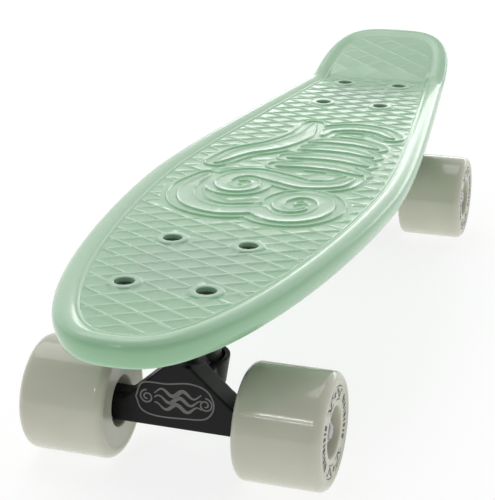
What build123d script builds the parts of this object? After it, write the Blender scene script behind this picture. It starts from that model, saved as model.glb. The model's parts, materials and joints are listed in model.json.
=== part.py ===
"""Mini cruiser skateboard: moulded plastic deck, two traditional-kingpin trucks, four wheels.

Frame: X runs along the axles, the nose points to -Y, the kicktail to +Y and Z is up.
The origin is on the ground, under the middle of the board. Sizes are millimetres.
"""
import math
import os

from build123d import *

os.makedirs("parts", exist_ok=True)

# ---------------------------------------------------------------- driving dimensions
BOARD_LENGTH = 583.0
BOARD_WIDTH = 153.0
WHEELBASE = 384.0
NOSE_OVERHANG = 91.0  # nose tip to front axle
KICK_RUN = 71.5  # plan length of the kicktail
KICK_ANGLE = 20.0  # degrees above the flat

WHEEL_RADIUS = 30.0
WHEEL_WIDTH = 45.3
WHEEL_CENTRE_X = 55.95

DECK_TOP = 107.0  # crown of the rim above the ground
RIM_HEIGHT = 14.0
RIM_WIDTH = 10.5
PANEL_TOP = 105.0
PANEL_THICKNESS = 5.0
HOLE_SPACING_X = 41.3
HOLE_SPACING_Y = 63.5
HOLE_CENTRE = 10.0  # truck bolt pattern, inboard of the axle

STEER_ANGLE = 40.0  # steering axis below the horizontal, degrees
RING_Y = 22.0  # kingpin, inboard of the axle
RING_Z = 43.5  # middle of the hanger's ring

# ---------------------------------------------------------------- derived places
NOSE_Y = -BOARD_LENGTH / 2
TAIL_Y = BOARD_LENGTH / 2
FRONT_AXLE_Y = NOSE_Y + NOSE_OVERHANG
REAR_AXLE_Y = FRONT_AXLE_Y + WHEELBASE
BEND_Y = TAIL_Y - KICK_RUN
KICK_SLOPE = math.tan(math.radians(KICK_ANGLE))
DECK_BOTTOM = DECK_TOP - RIM_HEIGHT

FRONT = Location((0, FRONT_AXLE_Y, 0))
REAR = Location((0, REAR_AXLE_Y, 0), (0, 0, 180))
TRUCKS = {"front": FRONT, "rear": REAR}

# ---------------------------------------------------------------- deck sizes
WIDEST_Y = -46.5
WAIST_HALF_WIDTH = 51.0  # at the kicktail bend
TAIL_HALF_WIDTH = 48.0
NOSE_POWER = 1.6
NOSE_ROUND = 2.55
TAIL_ROUND = 3.35
TAPER_SOFTNESS = 0.25
NOSE_STEPS = 8
NOSE_CROWDING = 1.4  # draws the outline's points together at the tip
TAPER_STEPS = 6
TAIL_STEPS = 7
TAIL_CROWDING = 0.8
POCKET_INSET = 9.0
PANEL_DEPTH = DECK_TOP - PANEL_TOP  # below the crown of the rim
PANEL_UNDERSIDE = PANEL_DEPTH + PANEL_THICKNESS
RIB_WIDTH = 2.6
RIB_DEPTH = 4.0
RIB_ROOT = 1.0  # how far the ribs reach into the panel
RIB_PITCH_Y = 30.0
RIB_PITCH_X = 28.0
PAD_HALF_X = 31.0
PAD_HALF_Y = 43.0
PAD_CORNER = 8.0
BOSS_RADIUS = 8.2
BOSS_TOP = 106.0
HEAD_HOLE_RADIUS = 4.9
BOLT_HOLE_RADIUS = 2.7
BEYOND = 300.0  # longer than anything that a cut or a crop has to pass
MARGIN = 20.0  # how far a cutting band passes the deck

# ---------------------------------------------------------------- hardware sizes
BOLT_RADIUS = 2.5
BOLT_HEAD_RADIUS = 4.6
BOLT_HEAD_TOP = 103.7
BOLT_HEAD_HEIGHT = 3.0
BOLT_LENGTH = 23.8
BOLT_NUT_ACROSS = 8.0
BOLT_NUT_HEIGHT = 5.0
BOLT_NUT_COLLAR = 1.4
SOCKET_HALF = 1.6
SOCKET_DEPTH = 1.8
EDGE_BREAK = 0.5
NUT_BREAK = 0.4
COLLAR_STEP = 0.8
CLOSE_FIT = 0.02  # radial gap of threads, bearings and the axle
LOOSE_FIT = 0.1  # radial gap of bolts and the kingpin
RISER_THICKNESS = 3.0
RISER_BORDER = 0.5
PLATE_THICKNESS = 6.0
PLATE_WIDTH = 59.0
PLATE_LENGTH = 84.0
PLATE_CORNER = 8.0
PLATE_TOP = DECK_BOTTOM - RISER_THICKNESS
PLATE_BOTTOM = PLATE_TOP - PLATE_THICKNESS

# ---------------------------------------------------------------- truck sizes
AXLE_RADIUS = 4.0
AXLE_HALF_LENGTH = 76.5
ARM_SIZE = 15.0
ARM_CORNER = 4.0
ARM_END_X = 42.95
SPIGOT_LENGTH = 3.0  # round end of each arm, beside the wheel
SPIGOT_RADIUS = 6.0
FACE_HALF_FOOT = 28.0
FACE_FLARE = 8.0
FACE_HALF_TOP = 6.0
FACE_TOP_Z = 57.5
PIVOT_RADIUS = 5.5
CUP_WALL = 2.8
CUP_CLEARANCE = 0.05
CUP_LIP = 6.0  # the cup's mouth, down the steering axis from the pivot tip's centre
CUP_FLOOR = 7.2
NECK_WAIST = 11.0  # where the pivot starts to widen, down the steering axis
NECK_SHOULDER = 22.0
NECK_SHOULDER_RADIUS = 8.5
NECK_ROOT = 38.0
NECK_ROOT_RADIUS = 9.5
HOUSING_RADIUS = 12.0
HOUSING_MOUTH = 5.5
HOUSING_DEPTH = 14.0
WEB_WIDTH = 8.0
WEB_LENGTH = 22.0
WEB_DEPTH = 5.0
KINGPIN_RADIUS = 4.76
KINGPIN_BOTTOM = 19.5
KINGPIN_HEAD_RADIUS = 8.2
KINGPIN_HEAD_HEIGHT = 5.5
KINGPIN_BREAK = 0.8
RING_TOP = 52.0
RING_BOTTOM = 36.0
RING_MOUTH_RADIUS = 16.5
RING_FOOT_RADIUS = 14.0
BRIDGE_WIDTH = 26.0  # block that joins the ring to the axle arms
BRIDGE_STEP = 2.0
SEAT_TOP = 47.0
SEAT_TOP_RADIUS = 13.6
SEAT_BOTTOM = 40.0
SEAT_BOTTOM_RADIUS = 11.6
THROAT_RADIUS = 6.6
RELIEF_FOOT_Z = 55.0  # the hanger is cut back here, clear of the boss when it tilts
RELIEF_FOOT_RADIUS = 14.6
RELIEF_TOP_RADIUS = 21.5
BOSS_FOOT_Z = 64.0
BOSS_FOOT_RADIUS = 12.6
BOSS_ROOT_RADIUS = 17.0
SOFT_GAP = 0.3  # between a bushing and the hanger's seat
BUSHING_WASHER = 1.5
BUSHING_BREAK = 0.8
BOARDSIDE_RADIUS = 12.0
BOARDSIDE_WASHER_RADIUS = 12.4
ROADSIDE_WASHER_RADIUS = 10.8
WASHER_LIP = 1.2
ROADSIDE_TOP_RADIUS = 10.8
ROADSIDE_BOTTOM_RADIUS = 9.4
ROADSIDE_BOTTOM = 29.2
KINGPIN_NUT_ACROSS = 14.3
KINGPIN_NUT_HEIGHT = 6.6
KINGPIN_NUT_COLLAR = 1.8

# ---------------------------------------------------------------- wheel and bearing sizes
BEARING_BORE_RADIUS = 4.0
BEARING_RADIUS = 11.0
BEARING_WIDTH = 7.0
BEARING_OFFSET = 8.5  # bearing middle from the wheel's middle plane
INNER_LAND = 6.05
OUTER_LAND = 8.95
BALL_PITCH = 7.5
BALL_RADIUS = 1.984
GROOVE_RADIUS = 2.03
BALL_COUNT = 7
CAGE_WIDTH = 5.0
CAGE_HALF_THICKNESS = 0.8
SHIELD_THICKNESS = 0.3
SHIELD_GAP = 0.25
SPACER_RADIUS = 5.5
HUB_SHELF_RADIUS = 9.2
SEAT_MOUTH_RADIUS = 11.6
HUB_MOUTH_RADIUS = 13.3
TYRE_LIP_RADIUS = 4.2
WASHER_THICKNESS = 1.0
WASHER_RADIUS = 5.9
AXLE_NUT_ACROSS = 13.0
AXLE_NUT_HEIGHT = 6.4
AXLE_NUT_COLLAR = 1.8
AXLE_BREAK = 0.6

steer = math.radians(STEER_ANGLE)
PIVOT_REACH = 50.9  # pivot tip from the ring's middle, along the steering axis
PIVOT_Y = RING_Y - PIVOT_REACH * math.cos(steer)
PIVOT_Z = RING_Z + PIVOT_REACH * math.sin(steer)
STEER_UP = (0, -math.cos(steer), math.sin(steer))
PIVOT_PLANE = Plane(
    origin=(0, PIVOT_Y, PIVOT_Z),
    x_dir=(1, 0, 0),
    z_dir=(0, -math.sin(steer), -math.cos(steer)),
)
PIVOT_AXIS = Axis((0, PIVOT_Y, PIVOT_Z), STEER_UP)


def save(part, name, place=Location()):
    """Place one finished piece, label it and write it as its own STEP file."""
    placed = place * part
    placed.label = name
    export_step(placed, f"parts/{name}.step")


def half_width(y):
    """Half of the deck's width at y: rounded nose, soft taper, squarish tail."""
    if y <= WIDEST_Y:
        reach = (WIDEST_Y - y) / (WIDEST_Y - NOSE_Y)
        return BOARD_WIDTH / 2 * (1 - reach**NOSE_POWER) ** (1 / NOSE_ROUND)
    if y <= BEND_Y:
        run = (y - WIDEST_Y) / (BEND_Y - WIDEST_Y)
        soft = TAPER_SOFTNESS
        drop = (math.hypot(run, soft) - soft) / (math.hypot(1, soft) - soft)
        return BOARD_WIDTH / 2 - (BOARD_WIDTH / 2 - WAIST_HALF_WIDTH) * drop
    run = (y - BEND_Y) / KICK_RUN
    side = WAIST_HALF_WIDTH + (TAIL_HALF_WIDTH - WAIST_HALF_WIDTH) * run
    return side * (1 - run**TAIL_ROUND) ** (1 / TAIL_ROUND)


def outline_points():
    """Points down the +X side from nose tip to tail end, close together where it turns."""
    points = []
    for i in range(NOSE_STEPS):
        turn = math.pi / 2 * i / NOSE_STEPS
        y = WIDEST_Y - (WIDEST_Y - NOSE_Y) * math.cos(turn) ** NOSE_CROWDING
        points.append((half_width(y), y))
    for i in range(TAPER_STEPS):
        y = WIDEST_Y + (BEND_Y - WIDEST_Y) * i / TAPER_STEPS
        points.append((half_width(y), y))
    for i in range(TAIL_STEPS):
        y = BEND_Y + KICK_RUN * math.sin(math.pi / 2 * i / TAIL_STEPS) ** TAIL_CROWDING
        points.append((half_width(y), y))
    return points + [(0.0, TAIL_Y)]


def drawn_in(points, inset):
    """The same points moved square to the outline, towards the middle of the board."""
    (_, first_y), (_, last_y) = points[0], points[-1]
    row = [(-points[1][0], points[1][1])] + points + [(-points[-2][0], points[-2][1])]
    moved = []
    for before, here, after in zip(row, row[1:], row[2:]):
        along = (after[0] - before[0], after[1] - before[1])
        scale = inset / math.hypot(*along)
        moved.append((here[0] - along[1] * scale, here[1] + along[0] * scale))
    moved[0] = (0.0, first_y + inset)
    moved[-1] = (0.0, last_y - inset)
    return moved


def plan_outline(inset):
    """The deck seen from above, as a face, drawn in by inset all round."""
    right = drawn_in(outline_points(), inset)
    left = [(-x, y) for x, y in reversed(right[1:-1])]
    with BuildSketch() as plan:
        with BuildLine():
            Spline(*right, *left, periodic=True)
        make_face()
    return plan.sketch


def side_band(upper, lower):
    """A band of the side view that follows the flat and the kick, between two depths.

    Depths are measured down from the crown of the rim, square to the surface.
    """
    lean = math.tan(math.radians(KICK_ANGLE / 2))
    ends = (NOSE_Y - MARGIN, TAIL_Y + MARGIN)
    line = []
    for depth, order in ((upper, 1), (lower, -1)):
        z = DECK_TOP - depth
        bend = BEND_Y + depth * lean
        kick_z = z + (ends[1] - bend) * KICK_SLOPE
        line += [(ends[0], z), (bend, z), (ends[1], kick_z)][::order]
    with BuildPart() as band:
        with BuildSketch(Plane.YZ):
            with BuildLine():
                Polyline(*line, close=True)
            make_face()
        extrude(amount=BOARD_WIDTH, both=True)
    return band.part


def bolt_places():
    """The four bolts of one truck, in the truck's own frame."""
    return [
        (x * HOLE_SPACING_X / 2, HOLE_CENTRE + y * HOLE_SPACING_Y / 2)
        for x in (-1, 1)
        for y in (-1, 1)
    ]


def board_bolts():
    """All eight bolts in the board's frame."""
    places = []
    for x, y in bolt_places():
        places.append((x, FRONT_AXLE_Y + y))
        places.append((-x, REAR_AXLE_Y - y))
    return places


def make_deck():
    """One moulding: raised rim, recessed panel, ribbed underside and two truck pads."""
    pad_y = (FRONT_AXLE_Y + HOLE_CENTRE, REAR_AXLE_Y - HOLE_CENTRE)
    with BuildPart() as pocket:
        add(side_band(PANEL_UNDERSIDE, RIM_HEIGHT + MARGIN))
        with BuildSketch():
            add(plan_outline(POCKET_INSET))
        extrude(amount=BEYOND, mode=Mode.INTERSECT)
        with BuildSketch(Plane.XY.offset(DECK_BOTTOM - 2 * MARGIN)):
            for y in pad_y:
                with Locations((0, y)):
                    RectangleRounded(2 * PAD_HALF_X, 2 * PAD_HALF_Y, PAD_CORNER)
        extrude(amount=BEYOND, mode=Mode.SUBTRACT)
    with BuildPart() as ribs:
        add(side_band(PANEL_UNDERSIDE - RIB_ROOT, PANEL_UNDERSIDE + RIB_DEPTH))
        with BuildSketch():
            for i in (-2, -1, 0, 1, 2):
                with Locations((i * RIB_PITCH_X, 0)):
                    Rectangle(RIB_WIDTH, BOARD_LENGTH)
            count = int(BOARD_LENGTH / RIB_PITCH_Y)
            for i in range(1, count + 1):
                with Locations((0, NOSE_Y + i * RIB_PITCH_Y)):
                    Rectangle(BOARD_WIDTH, RIB_WIDTH)
        extrude(amount=BEYOND, mode=Mode.INTERSECT)
    with BuildPart() as dish:
        add(side_band(-MARGIN, PANEL_DEPTH))
        with BuildSketch():
            add(plan_outline(RIM_WIDTH))
        extrude(amount=BEYOND, mode=Mode.INTERSECT)
    with BuildPart() as deck:
        add(side_band(0, RIM_HEIGHT))
        with BuildSketch():
            add(plan_outline(0))
        extrude(amount=BEYOND, mode=Mode.INTERSECT)
        add(dish.part, mode=Mode.SUBTRACT)
        add(pocket.part - ribs.part, mode=Mode.SUBTRACT)
        with BuildSketch(Plane.XY.offset(PANEL_TOP)):
            with Locations(*board_bolts()):
                Circle(BOSS_RADIUS)
        extrude(amount=BOSS_TOP - PANEL_TOP)
        with BuildSketch(Plane.XY.offset(BOSS_TOP)):
            with Locations(*board_bolts()):
                Circle(HEAD_HOLE_RADIUS)
        extrude(amount=BOLT_HEAD_TOP - BOLT_HEAD_HEIGHT - BOSS_TOP, mode=Mode.SUBTRACT)
        with BuildSketch(Plane.XY.offset(BOSS_TOP)):
            with Locations(*board_bolts()):
                Circle(BOLT_HOLE_RADIUS)
        extrude(amount=-MARGIN, mode=Mode.SUBTRACT)
    return deck.part


def make_riser_pad():
    """Flat rubber pad between the deck and the baseplate."""
    with BuildPart() as pad:
        with BuildSketch(Plane.XY.offset(PLATE_TOP)):
            with Locations((0, HOLE_CENTRE)):
                RectangleRounded(PLATE_WIDTH + 2 * RISER_BORDER, PLATE_LENGTH + 2 * RISER_BORDER,
                                 PLATE_CORNER + RISER_BORDER)
            with Locations(*bolt_places()):
                Circle(BOLT_HOLE_RADIUS, mode=Mode.SUBTRACT)
        extrude(amount=RISER_THICKNESS)
    return pad.part


def make_baseplate():
    """Cast plate with the kingpin boss and the slanted pivot housing."""
    with BuildPart() as plate:
        with BuildSketch(Plane.XY.offset(PLATE_BOTTOM)):
            with Locations((0, HOLE_CENTRE)):
                RectangleRounded(PLATE_WIDTH, PLATE_LENGTH, PLATE_CORNER)
        extrude(amount=PLATE_THICKNESS)
        with BuildSketch(Plane.XY.offset(BOSS_FOOT_Z)):
            with Locations((0, RING_Y)):
                Circle(BOSS_FOOT_RADIUS)
        with BuildSketch(Plane.XY.offset(PLATE_BOTTOM)):
            with Locations((0, RING_Y)):
                Circle(BOSS_ROOT_RADIUS)
        loft()
        with BuildSketch(PIVOT_PLANE):
            with BuildLine():
                Polyline((0, -HOUSING_MOUTH), (HOUSING_RADIUS - 1, -HOUSING_MOUTH),
                         (HOUSING_RADIUS, 1 - HOUSING_MOUTH), (HOUSING_RADIUS, HOUSING_DEPTH),
                         (0, HOUSING_DEPTH), close=True)
            make_face()
        revolve(axis=PIVOT_AXIS)
        with BuildSketch(Plane.XY.offset(PLATE_BOTTOM - WEB_DEPTH)):
            with Locations((0, (RING_Y - WEB_LENGTH) / 2 + 1)):
                Rectangle(WEB_WIDTH, WEB_LENGTH)
        extrude(amount=WEB_DEPTH + 1)
        with BuildSketch(Plane.XY.offset(PLATE_TOP)):
            Rectangle(BEYOND, BEYOND)
        extrude(amount=MARGIN, mode=Mode.SUBTRACT)
        with BuildSketch(PIVOT_PLANE):
            with BuildLine():
                Polyline((0, -MARGIN), (PIVOT_RADIUS + CUP_WALL, -MARGIN),
                         (PIVOT_RADIUS + CUP_WALL, CUP_FLOOR), (0, CUP_FLOOR), close=True)
            make_face()
        revolve(axis=PIVOT_AXIS, mode=Mode.SUBTRACT)
        with BuildSketch(Plane.XY.offset(PLATE_TOP)):
            with Locations((0, RING_Y)):
                Circle(KINGPIN_HEAD_RADIUS + LOOSE_FIT)
        extrude(amount=-KINGPIN_HEAD_HEIGHT, mode=Mode.SUBTRACT)
        with BuildSketch(Plane.XY.offset(PLATE_TOP)):
            with Locations((0, RING_Y)):
                Circle(KINGPIN_RADIUS + CLOSE_FIT)
            with Locations(*bolt_places()):
                Circle(BOLT_RADIUS + LOOSE_FIT)
        extrude(amount=-BEYOND, mode=Mode.SUBTRACT)
    return plate.part


def make_pivot_cup():
    """Plastic socket that the hanger's pivot turns in."""
    inner = PIVOT_RADIUS + CUP_CLEARANCE
    outer = PIVOT_RADIUS + CUP_WALL
    with BuildPart() as cup:
        with BuildSketch(PIVOT_PLANE):
            with BuildLine():
                Polyline((inner, -CUP_LIP), (outer, -CUP_LIP), (outer, CUP_FLOOR), (0, CUP_FLOOR),
                         (0, inner))
                RadiusArc((0, inner), (inner, 0), inner)
                Line((inner, 0), (inner, -CUP_LIP))
            make_face()
        revolve(axis=PIVOT_AXIS)
    return cup.part


def make_hanger():
    """Cast hanger: axle arms, flat face, slanted pivot and the ring round the kingpin."""
    axle_z = WHEEL_RADIUS
    foot = FACE_HALF_FOOT + FACE_FLARE
    half = ARM_SIZE / 2
    relief = ring_about([(0, RELIEF_FOOT_Z), (RELIEF_FOOT_RADIUS, RELIEF_FOOT_Z),
                         (RELIEF_TOP_RADIUS, PLATE_BOTTOM), (0, PLATE_BOTTOM)])
    with BuildPart() as hanger:
        with BuildSketch(Plane.YZ):
            with Locations((0, axle_z)):
                RectangleRounded(ARM_SIZE, ARM_SIZE, ARM_CORNER)
        extrude(amount=ARM_END_X - SPIGOT_LENGTH, both=True)
        with BuildSketch(Plane.XZ):
            with BuildLine():
                Polyline((-foot, axle_z - half), (-foot, axle_z), (-FACE_HALF_FOOT, axle_z + half),
                         (-FACE_HALF_TOP, FACE_TOP_Z), (FACE_HALF_TOP, FACE_TOP_Z),
                         (FACE_HALF_FOOT, axle_z + half), (foot, axle_z), (foot, axle_z - half),
                         close=True)
            make_face()
        extrude(amount=half, both=True)
        with BuildSketch(PIVOT_PLANE):
            with BuildLine():
                Polyline((0, -NECK_ROOT), (NECK_ROOT_RADIUS, -NECK_ROOT),
                         (NECK_SHOULDER_RADIUS, -NECK_SHOULDER), (PIVOT_RADIUS, -NECK_WAIST),
                         (PIVOT_RADIUS, 0))
                RadiusArc((PIVOT_RADIUS, 0), (0, PIVOT_RADIUS), -PIVOT_RADIUS)
                Line((0, PIVOT_RADIUS), (0, -NECK_ROOT))
            make_face()
        revolve(axis=PIVOT_AXIS)
        with BuildSketch(Plane.XY.offset(RING_BOTTOM)):
            with Locations((0, RING_Y)):
                Circle(RING_FOOT_RADIUS)
        with BuildSketch(Plane.XY.offset(RING_TOP)):
            with Locations((0, RING_Y)):
                Circle(RING_MOUTH_RADIUS)
        loft()
        with BuildSketch(Plane.XY.offset(RING_BOTTOM)):
            with Locations((0, RING_Y / 2)):
                Rectangle(BRIDGE_WIDTH, RING_Y)
        extrude(amount=RING_TOP - RING_BOTTOM - BRIDGE_STEP)
        with BuildSketch(Plane.YZ):
            with Locations((0, axle_z)):
                Circle(SPIGOT_RADIUS)
        extrude(amount=ARM_END_X, both=True)
        with BuildSketch(Plane.XY.offset(SEAT_TOP)):
            with Locations((0, RING_Y)):
                Circle(SEAT_TOP_RADIUS)
        extrude(amount=BEYOND, mode=Mode.SUBTRACT)
        with BuildSketch(Plane.XY.offset(SEAT_BOTTOM)):
            with Locations((0, RING_Y)):
                Circle(SEAT_BOTTOM_RADIUS)
        extrude(amount=-MARGIN, mode=Mode.SUBTRACT)
        with BuildSketch(Plane.XY.offset(SEAT_BOTTOM)):
            with Locations((0, RING_Y)):
                Circle(THROAT_RADIUS)
        extrude(amount=SEAT_TOP - SEAT_BOTTOM, mode=Mode.SUBTRACT)
        with BuildSketch(Plane.YZ):
            with Locations((0, axle_z)):
                Circle(AXLE_RADIUS + CLOSE_FIT)
        extrude(amount=BEYOND, both=True, mode=Mode.SUBTRACT)
        add(relief, mode=Mode.SUBTRACT)
    return hanger.part


def make_kingpin():
    """Headed bolt that drops through the baseplate and carries both bushings."""
    with BuildPart() as pin:
        with BuildSketch(Plane.XY.offset(PLATE_TOP)):
            with Locations((0, RING_Y)):
                Circle(KINGPIN_HEAD_RADIUS)
        extrude(amount=-KINGPIN_HEAD_HEIGHT)
        with BuildSketch(Plane.XY.offset(PLATE_TOP)):
            with Locations((0, RING_Y)):
                Circle(KINGPIN_RADIUS)
        extrude(amount=KINGPIN_BOTTOM - PLATE_TOP)
        chamfer(pin.faces().sort_by(Axis.Z)[0].edges(), KINGPIN_BREAK)
    return pin.part


def ring_about(profile, centre_y=RING_Y):
    """Turn a closed profile of (radius, height) points about a vertical line."""
    plane = Plane(origin=(0, centre_y, 0), x_dir=(1, 0, 0), z_dir=(0, -1, 0))
    with BuildPart() as ring:
        with BuildSketch(plane):
            with BuildLine():
                Polyline(*profile, close=True)
            make_face()
        revolve(axis=Axis((0, centre_y, 0), (0, 0, 1)))
    return ring.part


def make_boardside_bushing():
    """Barrel bushing between the baseplate and the hanger's ring."""
    low = SEAT_TOP + SOFT_GAP
    high = BOSS_FOOT_Z - BUSHING_WASHER
    bore = KINGPIN_RADIUS + LOOSE_FIT
    wall = BOARDSIDE_RADIUS
    edge = BUSHING_BREAK
    return ring_about([(bore, low), (wall - edge, low), (wall, low + edge), (wall, high - edge),
                       (wall - edge, high), (bore, high)])


def make_roadside_bushing():
    """Cone bushing under the hanger's ring."""
    high = SEAT_BOTTOM - SOFT_GAP
    bore = KINGPIN_RADIUS + LOOSE_FIT
    edge = BUSHING_BREAK
    return ring_about([(bore, ROADSIDE_BOTTOM), (ROADSIDE_BOTTOM_RADIUS, ROADSIDE_BOTTOM),
                       (ROADSIDE_TOP_RADIUS, high - edge), (ROADSIDE_TOP_RADIUS - edge, high),
                       (bore, high)])


def make_bushing_washers():
    """The flat washer above the boardside bushing and the cupped one below the roadside."""
    bore = KINGPIN_RADIUS + LOOSE_FIT
    top = BOSS_FOOT_Z
    under = ROADSIDE_BOTTOM
    wide = BOARDSIDE_WASHER_RADIUS
    rim = ROADSIDE_WASHER_RADIUS
    wall = rim - WASHER_LIP
    upper = ring_about([(bore, top), (wide, top), (wide, top - BUSHING_WASHER),
                        (bore, top - BUSHING_WASHER)])
    lower = ring_about([(bore, under), (wall, under), (wall, under + WASHER_LIP),
                        (rim, under + WASHER_LIP), (rim, under - BUSHING_WASHER),
                        (bore, under - BUSHING_WASHER)])
    return Compound([upper, lower])


def make_lock_nut(across, height, bore, collar):
    """Hexagon nut with a plain collar, standing on the XY plane."""
    with BuildPart() as nut:
        with BuildSketch():
            RegularPolygon(across / 2, 6, major_radius=False)
        extrude(amount=height - collar)
        chamfer(nut.faces().sort_by(Axis.Z)[-1].edges(), NUT_BREAK)
        with BuildSketch(Plane.XY.offset(height - collar)):
            Circle(across / 2 - COLLAR_STEP)
        extrude(amount=collar)
        fillet(nut.faces().sort_by(Axis.Z)[-1].edges(), collar / 2)
        with BuildSketch():
            Circle(bore)
        extrude(amount=height, mode=Mode.SUBTRACT)
    return nut.part


def make_mounting_bolt():
    """Flat-topped socket bolt with its head's top on the XY plane, pointing down."""
    with BuildPart() as bolt:
        with BuildSketch():
            Circle(BOLT_HEAD_RADIUS)
        extrude(amount=-BOLT_HEAD_HEIGHT)
        chamfer(bolt.faces().sort_by(Axis.Z)[-1].edges(), EDGE_BREAK)
        with BuildSketch(Plane.XY.offset(-BOLT_HEAD_HEIGHT)):
            Circle(BOLT_RADIUS)
        extrude(amount=-BOLT_LENGTH)
        with BuildSketch():
            RegularPolygon(SOCKET_HALF, 6, major_radius=False)
        extrude(amount=-SOCKET_DEPTH, mode=Mode.SUBTRACT)
    return bolt.part


def make_axle():
    """Plain steel axle with chamfered ends."""
    with BuildPart() as axle:
        with BuildSketch(Plane.YZ):
            with Locations((0, WHEEL_RADIUS)):
                Circle(AXLE_RADIUS)
        extrude(amount=AXLE_HALF_LENGTH, both=True)
        chamfer(axle.faces().filter_by(Plane.YZ).edges(), AXLE_BREAK)
    return axle.part


def turned(profile):
    """Turn a closed profile of (along X, radius) points about the axle line."""
    plane = Plane(origin=(0, 0, WHEEL_RADIUS), x_dir=(1, 0, 0), z_dir=(0, -1, 0))
    with BuildPart() as ring:
        with BuildSketch(plane):
            with BuildLine():
                Polyline(*profile, close=True)
            make_face()
        revolve(axis=Axis((0, 0, WHEEL_RADIUS), (1, 0, 0)))
    return ring.part


def tube(start, end, inner, outer):
    """A plain ring about the axle line between two places along X."""
    return turned([(start, inner), (end, inner), (end, outer), (start, outer)])


def make_wheel(centre_x):
    """Urethane tyre with rounded lips, two hub mouths and the two bearing seats."""
    half = WHEEL_WIDTH / 2
    seat = BEARING_OFFSET + BEARING_WIDTH / 2
    shelf = BEARING_OFFSET - BEARING_WIDTH / 2
    bore = BEARING_RADIUS + CLOSE_FIT
    plane = Plane(origin=(centre_x, 0, WHEEL_RADIUS), x_dir=(1, 0, 0), z_dir=(0, -1, 0))
    right = [(shelf, HUB_SHELF_RADIUS), (shelf, bore), (seat, bore), (seat, SEAT_MOUTH_RADIUS),
             (half, HUB_MOUTH_RADIUS), (half, WHEEL_RADIUS)]
    left = [(-x, radius) for x, radius in reversed(right)]
    with BuildPart() as wheel:
        with BuildSketch(plane) as section:
            with BuildLine():
                Polyline(*right, *left, close=True)
            make_face()
            corners = section.vertices().group_by(Axis.Y)[-1]
            fillet(corners, TYRE_LIP_RADIUS)
        revolve(axis=Axis((centre_x, 0, WHEEL_RADIUS), (1, 0, 0)))
    return wheel.part


def make_groove():
    """The ball track shared by both rings, about a bearing at the origin of X."""
    plane = Plane(origin=(0, 0, WHEEL_RADIUS), x_dir=(1, 0, 0), z_dir=(0, -1, 0))
    with BuildPart() as groove:
        with BuildSketch(plane):
            with Locations((0, BALL_PITCH)):
                Circle(GROOVE_RADIUS)
        revolve(axis=Axis((0, 0, WHEEL_RADIUS), (1, 0, 0)))
    return groove.part


def ball_places():
    """The centres of one bearing's balls."""
    turn = 2 * math.pi / BALL_COUNT
    return [
        (0, BALL_PITCH * math.sin(i * turn), WHEEL_RADIUS + BALL_PITCH * math.cos(i * turn))
        for i in range(BALL_COUNT)
    ]


def make_bearing():
    """The pieces of one bearing about the origin of X, by name."""
    half = BEARING_WIDTH / 2
    groove = make_groove()
    with BuildPart() as balls:
        with Locations(*ball_places()):
            Sphere(BALL_RADIUS)
    with BuildPart() as cage:
        add(tube(-CAGE_WIDTH / 2, CAGE_WIDTH / 2, BALL_PITCH - CAGE_HALF_THICKNESS,
                 BALL_PITCH + CAGE_HALF_THICKNESS))
        with Locations(*ball_places()):
            Sphere(GROOVE_RADIUS, mode=Mode.SUBTRACT)
    shields = [tube(start, start + SHIELD_THICKNESS, INNER_LAND + SHIELD_GAP, OUTER_LAND)
               for start in (-half, half - SHIELD_THICKNESS)]
    return {
        "inner_rings": [tube(-half, half, BEARING_BORE_RADIUS + CLOSE_FIT, INNER_LAND) - groove],
        "outer_rings": [tube(-half, half, OUTER_LAND, BEARING_RADIUS) - groove],
        "balls": list(balls.part.solids()),
        "cages": [cage.part],
        "shields": shields,
    }


def paired(pieces, centre_x):
    """Both bearings' copies of some pieces, for a wheel centred at centre_x."""
    copies = [Location((centre_x + side * BEARING_OFFSET, 0, 0)) * piece
              for side in (-1, 1) for piece in pieces]
    return Compound([solid for copy in copies for solid in copy.solids()])


def turned_nut(side):
    """The lock nut on one end of the axle."""
    start = WHEEL_CENTRE_X + BEARING_OFFSET + BEARING_WIDTH / 2 + WASHER_THICKNESS
    nut = make_lock_nut(AXLE_NUT_ACROSS, AXLE_NUT_HEIGHT, AXLE_RADIUS + CLOSE_FIT, AXLE_NUT_COLLAR)
    return Location((side * start, 0, WHEEL_RADIUS), (0, side * 90, 0)) * nut


def make_axle_washers():
    """The four thin washers that keep nut and hanger off the bearings' outer rings."""
    rings = []
    for side in (-1, 1):
        for near in (ARM_END_X, ARM_END_X + WASHER_THICKNESS + 2 * BEARING_OFFSET + BEARING_WIDTH):
            low, high = sorted((side * near, side * (near + WASHER_THICKNESS)))
            rings.append(tube(low, high, AXLE_RADIUS + LOOSE_FIT, WASHER_RADIUS))
    return Compound(rings)


# ---------------------------------------------------------------- make and write every piece
save(make_deck(), "deck")

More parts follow.
